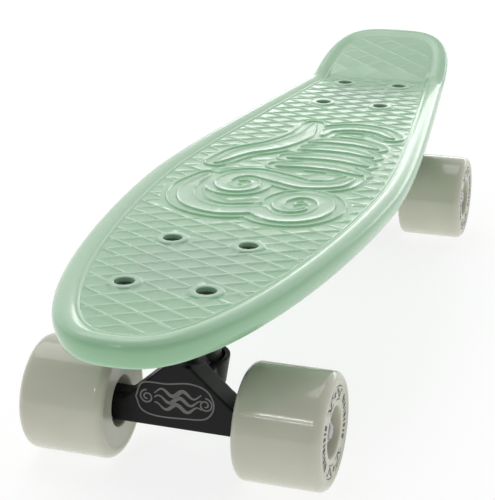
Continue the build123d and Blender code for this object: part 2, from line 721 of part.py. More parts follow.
bolt = make_mounting_bolt()
bolt_nut = make_lock_nut(BOLT_NUT_ACROSS, BOLT_NUT_HEIGHT, BOLT_RADIUS + CLOSE_FIT,
                         BOLT_NUT_COLLAR)
kingpin_nut = make_lock_nut(KINGPIN_NUT_ACROSS, KINGPIN_NUT_HEIGHT, KINGPIN_RADIUS + CLOSE_FIT,
                            KINGPIN_NUT_COLLAR)
UPSIDE_DOWN = (180, 0, 0)
nut_top = ROADSIDE_BOTTOM - BUSHING_WASHER
truck_pieces = {
    "riser_pad": make_riser_pad(),
    "baseplate": make_baseplate(),
    "pivot_cup": make_pivot_cup(),
    "kingpin": make_kingpin(),
    "kingpin_nut": Location((0, RING_Y, nut_top), UPSIDE_DOWN) * kingpin_nut,
    "bushing_washers": make_bushing_washers(),
    "boardside_bushing": make_boardside_bushing(),
    "roadside_bushing": make_roadside_bushing(),
    "mounting_bolts": Compound([Location((x, y, BOLT_HEAD_TOP)) * bolt for x, y in bolt_places()]),
    "mounting_nuts": Compound([Location((x, y, PLATE_BOTTOM), UPSIDE_DOWN) * bolt_nut
                               for x, y in bolt_places()]),
    "hanger": make_hanger(),
    "axle": make_axle(),
    "axle_washers": make_axle_washers(),
    "axle_nuts": Compound([turned_nut(side) for side in (-1, 1)]),
}
bearing = make_bearing()

for end, place in TRUCKS.items():
    for piece_name, piece in truck_pieces.items():
        save(piece, f"{end}_{piece_name}", place)

# Left is +X on the front axle; the rear truck is the same piece turned half round.
for end, place in TRUCKS.items():
    for hand, side in (("left", 1), ("right", -1)):
        local_side = side if end == "front" else -side
        centre_x = local_side * WHEEL_CENTRE_X
        wheel_name = f"{end}_{hand}"
        save(make_wheel(centre_x), f"{wheel_name}_wheel", place)
        for group_name, group in bearing.items():
            save(paired(group, centre_x), f"{wheel_name}_bearing_{group_name}", place)
        gap = BEARING_OFFSET - BEARING_WIDTH / 2
        spacer = tube(centre_x - gap, centre_x + gap, AXLE_RADIUS + LOOSE_FIT, SPACER_RADIUS)
        save(spacer, f"{wheel_name}_bearing_spacer", place)
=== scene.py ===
"""Small cruiser skateboard: the finished looks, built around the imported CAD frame.

Sizes inside the builders are millimetres and become metres as each mesh is made.
X runs along the axles, the nose points to -Y and Z is up.
"""
import json
import math

import bmesh
import bpy
import numpy as np
from mathutils import Matrix, Vector
from mathutils.geometry import delaunay_2d_cdt


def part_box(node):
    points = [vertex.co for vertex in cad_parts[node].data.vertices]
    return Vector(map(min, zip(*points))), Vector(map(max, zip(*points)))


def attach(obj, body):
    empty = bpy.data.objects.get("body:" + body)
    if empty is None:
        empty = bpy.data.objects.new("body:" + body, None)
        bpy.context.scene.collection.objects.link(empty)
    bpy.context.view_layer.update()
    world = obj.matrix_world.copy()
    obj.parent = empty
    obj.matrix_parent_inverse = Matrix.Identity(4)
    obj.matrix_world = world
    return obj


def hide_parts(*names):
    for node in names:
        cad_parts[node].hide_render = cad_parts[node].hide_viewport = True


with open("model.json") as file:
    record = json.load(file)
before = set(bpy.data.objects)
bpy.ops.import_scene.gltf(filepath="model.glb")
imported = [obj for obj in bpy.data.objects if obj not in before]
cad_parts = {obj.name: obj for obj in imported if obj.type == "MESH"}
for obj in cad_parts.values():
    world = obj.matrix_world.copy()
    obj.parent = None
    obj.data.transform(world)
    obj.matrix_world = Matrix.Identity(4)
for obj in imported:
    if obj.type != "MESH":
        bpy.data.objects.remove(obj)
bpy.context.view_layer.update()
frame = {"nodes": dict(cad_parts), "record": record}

MM = 0.001
ENDS = ("front", "rear")
HANDS = ("left", "right")

# ---------------------------------------------------------------- places read from the frame
deck_low, deck_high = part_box("deck")
HALF_WIDTH = deck_high.x / MM
NOSE_Y = deck_low.y / MM
TAIL_Y = deck_high.y / MM
DECK_BOTTOM = deck_low.z / MM
AXLE_Y = {end: sum(p.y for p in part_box(f"{end}_axle")) / 2 / MM for end in ENDS}
PLATE_Y = {end: sum(p.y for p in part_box(f"{end}_riser_pad")) / 2 / MM for end in ENDS}
bolt_low, bolt_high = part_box("front_mounting_bolts")
HEAD_RADIUS = 4.6
HEAD_HEIGHT = 3.0
BOLT_X = bolt_high.x / MM - HEAD_RADIUS
BOLT_Y = (bolt_high.y - bolt_low.y) / 2 / MM - HEAD_RADIUS
BOLTS = [(x * BOLT_X, PLATE_Y[end] + y * BOLT_Y) for end in ENDS for x in (-1, 1) for y in (-1, 1)]

# ---------------------------------------------------------------- deck sizes
RIM_HEIGHT = 14.0
DECK_TOP = DECK_BOTTOM + RIM_HEIGHT
PANEL_DEPTH = 2.0
FLOOR_DEPTH = 7.0
RIB_DEPTH = 11.0
KICK_RUN = 71.5
BEND_Y = TAIL_Y - KICK_RUN
KICK_ANGLE = math.radians(20)
KICK_SLOPE = math.tan(KICK_ANGLE)
KICK_BLEND = 1.6  # length over which the bend is rounded
WIDEST_Y = -46.5
WAIST_HALF_WIDTH = 51.0
TAIL_HALF_WIDTH = 48.0
NOSE_POWER = 1.6  # the nose's and tail's curves are superellipses; a larger power is squarer
NOSE_WIDTH_POWER = 2.55
TAIL_POWER = 3.35
TAPER_SOFTNESS = 0.25
NOSE_STEPS = 44
NOSE_SPACING = 1.4
TAPER_STEPS = 40
TAIL_STEPS = 34
TAIL_SPACING = 0.8
# The rim's section from the panel's edge round to the pocket's floor: (inset, depth).
RIM_SECTION = [
    (12.9, 2.0), (12.5, 1.6), (12.05, 1.35), (11.6, 1.35), (11.2, 1.55), (10.8, 1.65),
    (10.3, 1.45), (9.4, 0.95), (8.2, 0.45), (6.7, 0.1), (5.2, 0.0), (3.9, 0.12), (2.7, 0.55),
    (1.6, 1.35), (0.75, 2.4), (0.2, 3.7), (0.0, 5.2), (0.15, 7.0), (0.55, 9.0), (1.2, 11.0),
    (1.9, 12.4), (2.7, 13.3), (3.6, 13.85), (4.6, 14.0), (7.6, 14.0), (8.4, 13.8),
    (8.9, 13.3), (9.1, 12.5), (9.5, 7.9), (9.9, 7.2), (10.6, 7.0),
]
PANEL_EDGE = RIM_SECTION[0][0]
FLOOR_EDGE = RIM_SECTION[-1][0]
CROWN_INSET = 5.2
KICK_EASE = 0.9  # how far the bead beside the panel fades on the kicktail
KICK_FILL = 1.1  # how much shallower the panel is on the kicktail
KICK_FADE = 10.0  # length over which the section changes past the bend
BEND_STEPS = (-4, -1.5, 0, 1.5, 4)  # mesh lines beside the bend
MESH_MERGE = 1e-4  # points of a plan closer than this are one
LINE_STEP = 1.0  # sampling step along a ridge or rib
SHORTEST_LINE = 0.6
SLACK = 0.05  # keeps a line's end clear of the outline that it stops at

# ---------------------------------------------------------------- grip pattern
CELL_X = 24.1
CELL_Y = 14.3
CELL_SHIFT = 2.5
RIDGE_SECTION = [(0.3, 1.0), (0.85, 0.62), (1.5, 0.0)]  # (distance from its middle, share of height)
RIDGE_EDGES = [-away for away, _ in reversed(RIDGE_SECTION)] + [away for away, _ in RIDGE_SECTION]
RIDGE_HEIGHT = 0.7
RIDGE_FADE = 1.4  # length over which a ridge sinks away at its end
RIDGE_GAP = 0.65  # how far the ridges' mesh lines stop short of the panel's edge
RIDGE_REACH = 260.0
SPARE_ROWS = 4
KICK_RIDGE = 0.26  # share of the ridges' height that is left on the kicktail
KICK_RIDGE_FADE = 6.0  # length over which the ridges get lower at the bend
PITCH = 1 / math.hypot(1 / CELL_X, 1 / CELL_Y)
BOSS_SECTION = [(4.9, 0.45), (5.3, 0.85), (5.9, 1.0), (7.6, 1.0), (8.3, 0.8), (9.0, 0.0)]
OUTER_LINE = -6.2  # the motif's outer outline, measured out from its ribbons' edges
BEAD_HALF = 1.0
BEAD_FLAT = 0.3  # half of the flat top of a bead
PLAIN_MARGIN = 2.6  # smooth border between the motif's outline and the grip pattern
MOTIF_EDGE = OUTER_LINE - BEAD_HALF - PLAIN_MARGIN
OUTLINE_HEIGHT = 0.95
FIELD_HEIGHT = 0.1
RIBBON_EDGE_HEIGHT = 1.15
RIBBON_HEIGHT = 0.55
MOTIF_NARROWING = 0.78
RECESS_SECTION = [(0.7, -0.8), (1.3, 0.0)]
RECESS_PLACE = (15.0, -278.5)
HOLE_SIDES = 32
HEAD_HOLE = 4.9
SHANK_HOLE = 2.7
HEAD_SEAT_DEPTH = DECK_TOP - bolt_high.z / MM + HEAD_HEIGHT


# ---------------------------------------------------------------- plane geometry
def half_width(y):
    """Half of the deck's width at y: rounded nose, soft taper, squarish tail."""
    if y <= WIDEST_Y:
        reach = min((WIDEST_Y - y) / (WIDEST_Y - NOSE_Y), 1)
        return HALF_WIDTH * (1 - reach**NOSE_POWER) ** (1 / NOSE_WIDTH_POWER)
    if y <= BEND_Y:
        run = (y - WIDEST_Y) / (BEND_Y - WIDEST_Y)
        soft = TAPER_SOFTNESS
        drop = (math.hypot(run, soft) - soft) / (math.hypot(1, soft) - soft)
        return HALF_WIDTH - (HALF_WIDTH - WAIST_HALF_WIDTH) * drop
    run = min((y - BEND_Y) / KICK_RUN, 1)
    side = WAIST_HALF_WIDTH + (TAIL_HALF_WIDTH - WAIST_HALF_WIDTH) * run
    return side * (1 - run**TAIL_POWER) ** (1 / TAIL_POWER)


def outline():
    """The deck's plan as one closed ring, nose tip first and +X side next."""
    side = []
    for i in range(NOSE_STEPS):
        turn = math.pi / 2 * i / NOSE_STEPS
        y = WIDEST_Y - (WIDEST_Y - NOSE_Y) * math.cos(turn) ** NOSE_SPACING
        side.append((half_width(y), y))
    for i in range(TAPER_STEPS):
        y = WIDEST_Y + (BEND_Y - WIDEST_Y) * i / TAPER_STEPS
        side.append((half_width(y), y))
    for i in range(TAIL_STEPS):
        y = BEND_Y + KICK_RUN * math.sin(math.pi / 2 * i / TAIL_STEPS) ** TAIL_SPACING
        side.append((half_width(y), y))
    side.append((0.0, TAIL_Y))
    return np.array(side + [(-x, y) for x, y in reversed(side[1:-1])])


OUTLINE = outline()


def ring_at(inset):
    """The outline moved inwards, square to itself."""
    along = np.roll(OUTLINE, -1, 0) - np.roll(OUTLINE, 1, 0)
    along /= np.linalg.norm(along, axis=1)[:, None]
    return OUTLINE + inset * np.stack([-along[:, 1], along[:, 0]], 1)


def kick_share(points):
    """0 on the flat part of the deck and 1 on the kicktail, with a soft change between."""
    t = np.clip((points[:, 1] - BEND_Y) / KICK_FADE, 0, 1)
    return t * t * (3 - 2 * t)


def panel_depth(points):
    """The panel's depth below the rim's crown, shallower on the kicktail."""
    return PANEL_DEPTH - KICK_FILL * kick_share(points)


def rim_ring(inset, depth):
    """One line of the rim; on the kicktail the rim runs into the panel as one soft slope."""
    ring = ring_at(inset)
    if inset <= CROWN_INSET or depth > PANEL_DEPTH:
        return lifted(ring, depth)
    t = (inset - CROWN_INSET) / (PANEL_EDGE - CROWN_INSET)
    slope = panel_depth(ring) * t * t * (3 - 2 * t)
    ease = KICK_EASE if inset < PANEL_EDGE else 1.0
    return lifted(ring, depth + (slope - depth) * ease * kick_share(ring))


def path_distance(points, starts, ends, extra=None):
    """Distance from each point to the nearest piece of a path, less that piece's extra width."""
    along = ends - starts
    length = np.maximum((along**2).sum(1), 1e-9)
    found = np.empty(len(points))
    for first in range(0, len(points), 4000):
        some = points[first:first + 4000, None, :] - starts[None]
        t = np.clip((some * along).sum(2) / length, 0, 1)
        away = np.linalg.norm(some - t[..., None] * along, axis=2)
        if extra is not None:
            away -= extra[0] + t * (extra[1] - extra[0])
        found[first:first + 4000] = away.min(1)
    return found


def inset_of(points):
    """How far inside the outline each point is; negative outside."""
    away = path_distance(points, OUTLINE, np.roll(OUTLINE, -1, 0))
    inside = np.array([abs(x) < half_width(y) if NOSE_Y < y < TAIL_Y else False for x, y in points])
    return np.where(inside, away, -away)


def kick_rise(run):
    """How much the deck has risen at a distance past the bend, which is rounded."""
    return KICK_SLOPE * (run + np.hypot(run, KICK_BLEND)) / 2


def lifted(points, depth):
    """Points of the plan at a depth below the rim's crown, raised where the tail kicks up."""
    points = np.asarray(points, float)
    depth = np.broadcast_to(np.asarray(depth, float), len(points))
    run = points[:, 1] - BEND_Y - depth * math.tan(KICK_ANGLE / 2)
    return np.column_stack([points, DECK_TOP - depth + kick_rise(run)])


def smooth_path(points, steps):
    """A Catmull-Rom curve through the points."""
    points = np.array(points, float)
    ends = np.vstack([2 * points[0] - points[1], points, 2 * points[-1] - points[-2]])
    t = np.linspace(0, 1, steps, endpoint=False)[:, None]
    curve = []
    for a, b, c, d in zip(ends, ends[1:], ends[2:], ends[3:]):
        curve.append(0.5 * (2 * b + (c - a) * t + (2 * a - 5 * b + 4 * c - d) * t**2
                            + (3 * b - a - 3 * c + d) * t**3))
    return np.vstack(curve + [points[-1:]])


def spiral(centre, radii, degrees, steps=46):
    """A spiral path between two radii and two angles."""
    turn = np.radians(np.linspace(*degrees, steps))
    radius = np.linspace(*radii, steps)
    return np.column_stack([centre[0] + radius * np.cos(turn), centre[1] + radius * np.sin(turn)])


# ---------------------------------------------------------------- the raised motif
def ribbon(path, widest, thin=1.2, peak=0.5):
    """A path with a half width at each point: thin at both ends and widest at peak."""
    t = np.linspace(0, 1, len(path))
    swell = np.where(t < peak, t / peak, (1 - t) / (1 - peak))
    path = path * np.array([MOTIF_NARROWING, 1])
    return path, thin + (widest - thin) * np.sin(swell * math.pi / 2) ** 0.8


def make_ribbons():
    """Breaking waves and leaves between the trucks: an abstract pattern, not lettering."""
    first_curl = spiral((33, -88), (27, 8), (-150, 330))
    first_body = smooth_path([(-52, -48), (-56, -74), (-44, -98), (-18, -108), (9.6, -101.5)], 12)
    second_curl = spiral((-20, -58), (20, 6), (60, 480))
    second_body = smooth_path([(56, -32), (48, -46), (26, -52), (6, -46), (-10, -40.7)], 12)
    ribbons = [
        ribbon(np.vstack([first_body, first_curl[1:]]), 5.6, peak=0.4),
        ribbon(np.vstack([second_body, second_curl[1:]]), 5.0, peak=0.35),
        ribbon(smooth_path([(-57, -22), (-46, 4), (-25, 24), (-12, 52), (-14, 82)], 12), 6.0),
        ribbon(smooth_path([(60, 62), (44, 75), (22, 78), (4, 70), (2, 56)], 10), 4.6),
    ]
    for i in range(4):
        y = -18 + 19 * i
        leaf = smooth_path([(-8 + 2 * i, y), (14, y + 5), (36, y + 4), (59 - 1.5 * i, y - 4)], 12)
        ribbons.append(ribbon(leaf, 4.4))
    return ribbons


RIBBONS = make_ribbons()
RIBBON_STARTS = np.vstack([path[:-1] for path, _ in RIBBONS])
RIBBON_ENDS = np.vstack([path[1:] for path, _ in RIBBONS])
RIBBON_WIDTHS = (np.concatenate([w[:-1] for _, w in RIBBONS]),
                 np.concatenate([w[1:] for _, w in RIBBONS]))


def motif_depth(points):
    """How far inside the motif's ribbons each point is; negative outside them."""
    return -path_distance(points, RIBBON_STARTS, RIBBON_ENDS, RIBBON_WIDTHS)


def ribbon_ring(path, widths, grow):
    """A closed ring round one ribbon, grown past its edge."""
    along = np.gradient(path, axis=0)
    along /= np.linalg.norm(along, axis=1)[:, None]
    across = np.column_stack([-along[:, 1], along[:, 0]])
    reach = np.maximum(widths + grow, 0.2)[:, None]
    left = path + across * reach
    right = path - across * reach
    caps = []
    for i, way in ((-1, 1), (0, -1)):
        turns = np.linspace(0, math.pi, 9)[1:-1]
        caps.append(path[i] + reach[i] * (np.cos(turns)[:, None] * across[i] * way
                                          + np.sin(turns)[:, None] * along[i] * way))
    return np.vstack([left, caps[0], right[::-1], caps[1]])


# ---------------------------------------------------------------- surface heights
def ridge_height(points):
    """The grip pattern alone: two families of rounded ridges that cross as diamonds."""
    x = points[:, 0] / CELL_X
    y = (points[:, 1] - CELL_SHIFT) / CELL_Y
    height = np.zeros(len(points))
    for across in (y + x, y - x):
        away = np.abs(across - np.round(across)) * PITCH
        height = np.maximum(height, np.interp(away, *zip(*RIDGE_SECTION)))
    flat = np.clip((BEND_Y + KICK_RIDGE_FADE / 2 - points[:, 1]) / KICK_RIDGE_FADE, 0, 1)
    return RIDGE_HEIGHT * height * (KICK_RIDGE + (1 - KICK_RIDGE) * flat)


def top_height(points):
    """The panel's relief above its base: ridges, bolt bosses and the motif."""
    inside = motif_depth(points)
    free = np.minimum(inset_of(points) - PANEL_EDGE, MOTIF_EDGE - inside)
    for x, y in BOLTS:
        free = np.minimum(free, np.hypot(points[:, 0] - x, points[:, 1] - y) - BOSS_SECTION[-1][0])
    height = ridge_height(points) * np.clip(free / RIDGE_FADE, 0, 1)
    steps = (-BEAD_HALF, -BEAD_FLAT, BEAD_FLAT, BEAD_HALF)
    marks = [line + step for line in (OUTER_LINE, 0) for step in steps]
    relief = np.interp(inside, marks, [
        0.0, OUTLINE_HEIGHT, OUTLINE_HEIGHT, FIELD_HEIGHT,
        FIELD_HEIGHT, RIBBON_EDGE_HEIGHT, RIBBON_EDGE_HEIGHT, RIBBON_HEIGHT])
    height = np.where(inside > MOTIF_EDGE, relief, height)
    for x, y in BOLTS:
        away = np.hypot(points[:, 0] - x, points[:, 1] - y)
        radii, tops = zip(*BOSS_SECTION)
        boss = np.interp(away, radii, tops)
        height = np.where(away < radii[-1], boss, height)
    away = np.hypot(points[:, 0] - RECESS_PLACE[0], points[:, 1] - RECESS_PLACE[1])
    return np.where(away < RECESS_SECTION[-1][0], np.interp(away, *zip(*RECESS_SECTION)), height)


def ridge_spans():
    """Pieces of every ridge line that lie on the plain part of the panel."""
    spans = []
    for lean in (1, -1):
        across = np.array([lean / CELL_X, 1 / CELL_Y]) * PITCH
        along = np.array([across[1], -across[0]])
        count = int(TAIL_Y / CELL_Y) + SPARE_ROWS
        reach = np.arange(-RIDGE_REACH, RIDGE_REACH, LINE_STEP)
        for k in range(-count, count + 1):
            for edge in RIDGE_EDGES:
                foot = across * (k * PITCH + edge) + np.array([0, CELL_SHIFT])
                shift = foot[0] / along[0]
                line = foot + along * (reach - shift)[:, None]
                near = np.abs(line[:, 0]) < HALF_WIDTH
                near &= (line[:, 1] > NOSE_Y) & (line[:, 1] < TAIL_Y)
                line = line[near]
                if len(line) < 3:
                    continue
                free = inset_of(line) - PANEL_EDGE - RIDGE_GAP
                free = np.minimum(free, MOTIF_EDGE - motif_depth(line))
                boss_edge = BOSS_SECTION[-1][0] + SLACK
                for x, y in BOLTS:
                    free = np.minimum(free, np.hypot(line[:, 0] - x, line[:, 1] - y) - boss_edge)
                spans += kept_pieces(line, free)
    return spans


def kept_pieces(line, free):
    """The stretches of a sampled line where free is positive, cut at its crossings of zero."""
    pieces = []
    start = line[0] if free[0] > 0 else None
    for i in range(1, len(line)):
        if (free[i] > 0) == (free[i - 1] > 0):
            continue
        t = free[i - 1] / (free[i - 1] - free[i])
        cut = line[i - 1] + t * (line[i] - line[i - 1])
        if free[i] > 0:
            start = cut
            continue
        pieces.append((start, cut))
        start = None
    if start is not None:
        pieces.append((start, line[-1]))
    return [(a, b) for a, b in pieces if np.linalg.norm(b - a) > SHORTEST_LINE]


# ---------------------------------------------------------------- meshing
class Plan:
    """Lines drawn on the plane, cut into triangles together."""

    def __init__(self):
        self.points = []
        self.edges = []

    def ring(self, points):
        first = len(self.points)
        self.points += [Vector((float(x), float(y))) for x, y in points]
        count = len(points)
        self.edges += [(first + i, first + (i + 1) % count) for i in range(count)]

    def line(self, a, b):
        first = len(self.points)
        self.points += [Vector((float(a[0]), float(a[1]))), Vector((float(b[0]), float(b[1])))]
        self.edges.append((first, first + 1))

    def cut(self, holes, hole_radius):
        """Triangles inside the outermost ring, less those inside the holes."""
        found = delaunay_2d_cdt(self.points, self.edges, [], 1, MESH_MERGE)
        points = np.array([tuple(p) for p in found[0]])
        faces = np.array([tuple(f) for f in found[2] if len(f) == 3])
        middle = points[faces].mean(1)
        keep = np.ones(len(faces), bool)
        for x, y in holes:
            keep &= np.hypot(middle[:, 0] - x, middle[:, 1] - y) > hole_radius * 0.99
        return points, faces[keep]


def circle(x, y, radius, sides=HOLE_SIDES):
    turn = np.arange(sides) * 2 * math.pi / sides
    return np.column_stack([x + radius * np.cos(turn), y + radius * np.sin(turn)])


class Shell:
    """Vertices and faces gathered into one mesh; vertices in the same place are joined."""

    def __init__(self):
        self.places = []
        self.known = {}
        self.faces = []

    def vertex(self, place):
        key = tuple(round(float(v), 3) for v in place)
        if key not in self.known:
            self.known[key] = len(self.places)
            self.places.append(tuple(float(v) for v in place))
        return self.known[key]

    def add(self, places, faces):
        index = [self.vertex(p) for p in places]
        for face in faces:
            corners = [index[i] for i in face]
            if len(set(corners)) == len(corners):
                self.faces.append(corners)

    def bridge(self, rings):
        """Walls between rings of equally many points."""
        for low, high in zip(rings, rings[1:]):
            count = len(low)
            walls = [(i, (i + 1) % count, count + (i + 1) % count, count + i) for i in range(count)]
            self.add(np.vstack([low, high]), walls)

    def build(self, name, sharp=40):
        mesh = bpy.data.meshes.new(name)
        mesh.from_pydata([tuple(v * MM for v in p) for p in self.places], [], self.faces)
        finished(mesh, sharp)
        return linked(name, mesh)


def finished(mesh, sharp=40):
    """Outward normals, smooth faces and sharp edges past an angle in degrees."""
    bm = bmesh.new()
    bm.from_mesh(mesh)
    bmesh.ops.recalc_face_normals(bm, faces=bm.faces)
    bm.to_mesh(mesh)
    bm.free()
    mesh.shade_smooth()
    mesh.set_sharp_from_angle(angle=math.radians(sharp))


def linked(name, mesh):
    piece = bpy.data.objects.new(name, mesh)
    bpy.context.scene.collection.objects.link(piece)
    return piece


# ---------------------------------------------------------------- the deck
def draw_bend(plan, depth, edge):
    """Lines across the deck at its bend, so that the mesh can follow it."""
    for step in BEND_STEPS:
        y = BEND_Y + depth * math.tan(KICK_ANGLE / 2) + step
        reach = half_width(y) - edge - 1
        plan.line((-reach, y), (reach, y))


def top_plan():
    """The panel's plan: ridges, bosses, the motif's lines and the bend."""
    plan = Plan()
    plan.ring(ring_at(PANEL_EDGE))
    for a, b in ridge_spans():
        plan.line(a, b)
    for x, y in BOLTS:
        for radius, _ in BOSS_SECTION:
            plan.ring(circle(x, y, radius))
    for radius, _ in RECESS_SECTION:
        plan.ring(circle(*RECESS_PLACE, radius, 12))
    for path, widths in RIBBONS:
        plan.ring(ribbon_ring(path, widths, -MOTIF_EDGE))
        for line in (OUTER_LINE, 0):
            for step in (-BEAD_HALF, -BEAD_FLAT, BEAD_FLAT, BEAD_HALF):
                plan.ring(ribbon_ring(path, widths, -line - step))
    draw_bend(plan, PANEL_DEPTH, PANEL_EDGE)
    return plan.cut(BOLTS, HEAD_HOLE)


PAD_HALF_X = 31.0
PAD_HALF_Y = 43.0
PAD_CORNER = 8.0
PAD_CHAMFER = 0.7
RIB_PITCH_X = 28.0
RIB_PITCH_Y = 30.0
RIBS_EACH_SIDE = 2  # long ribs on each side of the middle one
RIB_EDGES = (-1.6, -1.15, 1.15, 1.6)
RIB_GAP = 0.3  # length over which a rib sinks away beside the rim


def pad_ring(end, grow):
    """One truck's flat pad under the deck, as a rounded rectangle."""
    half_x = PAD_HALF_X + grow
    half_y = PAD_HALF_Y + grow
    corner = PAD_CORNER + grow
    ring = []
    for quarter in range(4):
        turns = np.radians(np.linspace(90 * quarter, 90 * quarter + 90, 9))
        sx = 1 if quarter in (0, 3) else -1
        sy = 1 if quarter in (0, 1) else -1
        for turn in turns:
            ring.append((sx * (half_x - corner) + corner * math.cos(turn),
                         PLATE_Y[end] + sy * (half_y - corner) + corner * math.sin(turn)))
    return ring


def pad_distance(points, end):
    """Distance outside a pad's edge, negative inside."""
    straight = np.array([PAD_HALF_X - PAD_CORNER, PAD_HALF_Y - PAD_CORNER])
    away = np.abs(points - np.array([0, PLATE_Y[end]])) - straight
    return np.hypot(*np.maximum(away, 0).T) + np.minimum(away.max(1), 0) - PAD_CORNER


def rib_spans():
    """Every rib edge under the deck, cut clear of the rim and the pads."""
    spans = []
    lines = []
    for i in range(-RIBS_EACH_SIDE, RIBS_EACH_SIDE + 1):
        for edge in RIB_EDGES:
            y = np.arange(NOSE_Y, TAIL_Y, LINE_STEP)
            lines.append(np.column_stack([np.full(len(y), i * RIB_PITCH_X + edge), y]))
    for i in range(1, int((TAIL_Y - NOSE_Y) / RIB_PITCH_Y) + 1):
        for edge in RIB_EDGES:
            x = np.arange(-HALF_WIDTH, HALF_WIDTH, LINE_STEP)
            lines.append(np.column_stack([x, np.full(len(x), NOSE_Y + i * RIB_PITCH_Y + edge)]))
    for line in lines:
        free = inset_of(line) - FLOOR_EDGE - RIB_GAP
        for end in ENDS:
            free = np.minimum(free, pad_distance(line, end) - (PAD_CHAMFER + SLACK))
        spans += kept_pieces(line, free)
    return spans


def under_depth(points):
    """Depth of the underside below the rim's crown: floor, ribs and truck pads."""
    across = (points[:, 0] + RIB_PITCH_X / 2) % RIB_PITCH_X - RIB_PITCH_X / 2
    outermost = (RIBS_EACH_SIDE + 0.5) * RIB_PITCH_X
    across = np.where(np.abs(points[:, 0]) < outermost, np.abs(across), RIB_PITCH_X)
    along = (points[:, 1] - NOSE_Y + RIB_PITCH_Y / 2) % RIB_PITCH_Y - RIB_PITCH_Y / 2
    away = np.minimum(across, np.abs(along))
    rib = np.interp(away, (RIB_EDGES[2], RIB_EDGES[3]), (1, 0))
    rib *= np.clip((inset_of(points) - FLOOR_EDGE - SLACK) / RIB_GAP, 0, 1)
    depth = FLOOR_DEPTH + (RIB_DEPTH - FLOOR_DEPTH) * rib
    for end in ENDS:
        pad = np.interp(pad_distance(points, end), (0, PAD_CHAMFER), (RIM_HEIGHT, FLOOR_DEPTH))
        depth = np.maximum(depth, pad)
    return depth


def under_plan():
    """The underside's plan: ribs, truck pads, bolt holes and the bend."""
    plan = Plan()
    plan.ring(ring_at(FLOOR_EDGE))
    for a, b in rib_spans():
        plan.line(a, b)
    for end in ENDS:
        for grow in (0, PAD_CHAMFER):
            plan.ring(pad_ring(end, grow))
    for x, y in BOLTS:
        plan.ring(circle(x, y, SHANK_HOLE))
    draw_bend(plan, FLOOR_DEPTH, FLOOR_EDGE)
    return plan.cut(BOLTS, SHANK_HOLE)


def make_deck():
    """One closed moulding: patterned top, rounded rim, ribbed underside, eight stepped holes."""
    shell = Shell()
    points, faces = top_plan()
    height = top_height(points)
    shell.add(lifted(points, panel_depth(points) - height), faces)
    shell.bridge([rim_ring(inset, depth) for inset, depth in RIM_SECTION])
    points, faces = under_plan()
    shell.add(lifted(points, under_depth(points)), faces)
    for x, y in BOLTS:
        mouth = circle(x, y, HEAD_HOLE)
        rings = [
            lifted(mouth, panel_depth(mouth) - top_height(mouth)),
            lifted(mouth, HEAD_SEAT_DEPTH),
            lifted(circle(x, y, SHANK_HOLE), HEAD_SEAT_DEPTH),
            lifted(circle(x, y, SHANK_HOLE), RIM_HEIGHT),
        ]
        shell.bridge(rings)
    deck = shell.build("deck_shell", 50)
    # The relief attribute grows from 0 at the panel's base to 1 a ridge's height above it and masks
    # the deck material's painted highlight on raised parts.
    lift = deck.data.attributes.new("relief", "FLOAT", "POINT")
    places = np.array(shell.places)
    flat_z = places[:, 2] - kick_rise(places[:, 1] - BEND_Y)
    relief = np.clip((flat_z - (DECK_TOP - PANEL_DEPTH)) / RIDGE_HEIGHT, 0, 1)
    lift.data.foreach_set("value", relief.astype(np.float32))
    weigh = deck.modifiers.new("even_normals", "WEIGHTED_NORMAL")
    weigh.keep_sharp = True
    weigh.weight = 80
    return deck


# ---------------------------------------------------------------- turned pieces
wheel_low, wheel_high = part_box("front_left_wheel")
WHEEL_RADIUS = (wheel_high.z - wheel_low.z) / 2 / MM
WHEEL_HALF = (wheel_high.x - wheel_low.x) / 2 / MM
WHEEL_X = (wheel_high.x + wheel_low.x) / 2 / MM
WHEEL_SIDES = 96
WHEEL_SHARP_EDGE = 35
BORE_RADIUS = 9.2
CORE_HALF = 5.0
SEAT_END = 12.0
SEAT_RADIUS = 11.0
SEAT_MOUTH = 11.6
HUB_MOUTH = 13.3
LIP = 4.4
DISH = 0.6
DISH_RADIUS = 23.6
TREAD_EDGE_LOOPS = (9.0, 0.9, 0.4)
SEAM_DEPTH = 0.03
GLOSS_START = 25.5  # radius at which the side face turns into the glossy tread
GLOSS_FADE = 3.0


def turned(name, section, centre_x, axle_y, side):
    """A closed ring turned about the axle line from (along, radius) points; side flips it."""
    shell = Shell()
    turn = np.arange(WHEEL_SIDES) * 2 * math.pi / WHEEL_SIDES
    rings = []
    for along, radius in section + section[:1]:
        rings.append(np.column_stack([
            np.full(WHEEL_SIDES, centre_x + side * along),
            axle_y + radius * np.cos(turn),
            WHEEL_RADIUS + radius * np.sin(turn),
        ]))
    shell.bridge(rings)
    return shell.build(name, WHEEL_SHARP_EDGE)


def wheel_section():
    """Half of the tyre's section is drawn and mirrored: hub, dished face, rounded lip, tread."""
    lip = []
    for turn in np.radians(np.linspace(0, 90, 9)):
        lip.append((WHEEL_HALF - LIP + LIP * math.cos(turn),
                    WHEEL_RADIUS - LIP + LIP * math.sin(turn)))
    half = [(0, BORE_RADIUS), (CORE_HALF, BORE_RADIUS), (CORE_HALF, SEAT_RADIUS),
            (SEAT_END, SEAT_RADIUS), (SEAT_END, SEAT_MOUTH),
            (WHEEL_HALF - DISH - 1.2, HUB_MOUTH - 0.2), (WHEEL_HALF - DISH - 0.5, HUB_MOUTH),
            (WHEEL_HALF - DISH - 0.1, HUB_MOUTH + 0.4), (WHEEL_HALF - DISH, HUB_MOUTH + 1.0),
            (WHEEL_HALF - DISH, DISH_RADIUS), (WHEEL_HALF - 0.35, DISH_RADIUS + 0.6),
            (WHEEL_HALF - 0.05, DISH_RADIUS + 1.2)]
    half += lip + [(WHEEL_HALF - LIP - 0.4, WHEEL_RADIUS)]
    half += [(along, WHEEL_RADIUS) for along in TREAD_EDGE_LOOPS]
    half.append((0, WHEEL_RADIUS - SEAM_DEPTH))
    return half + [(-x, r) for x, r in reversed(half[1:-1])]


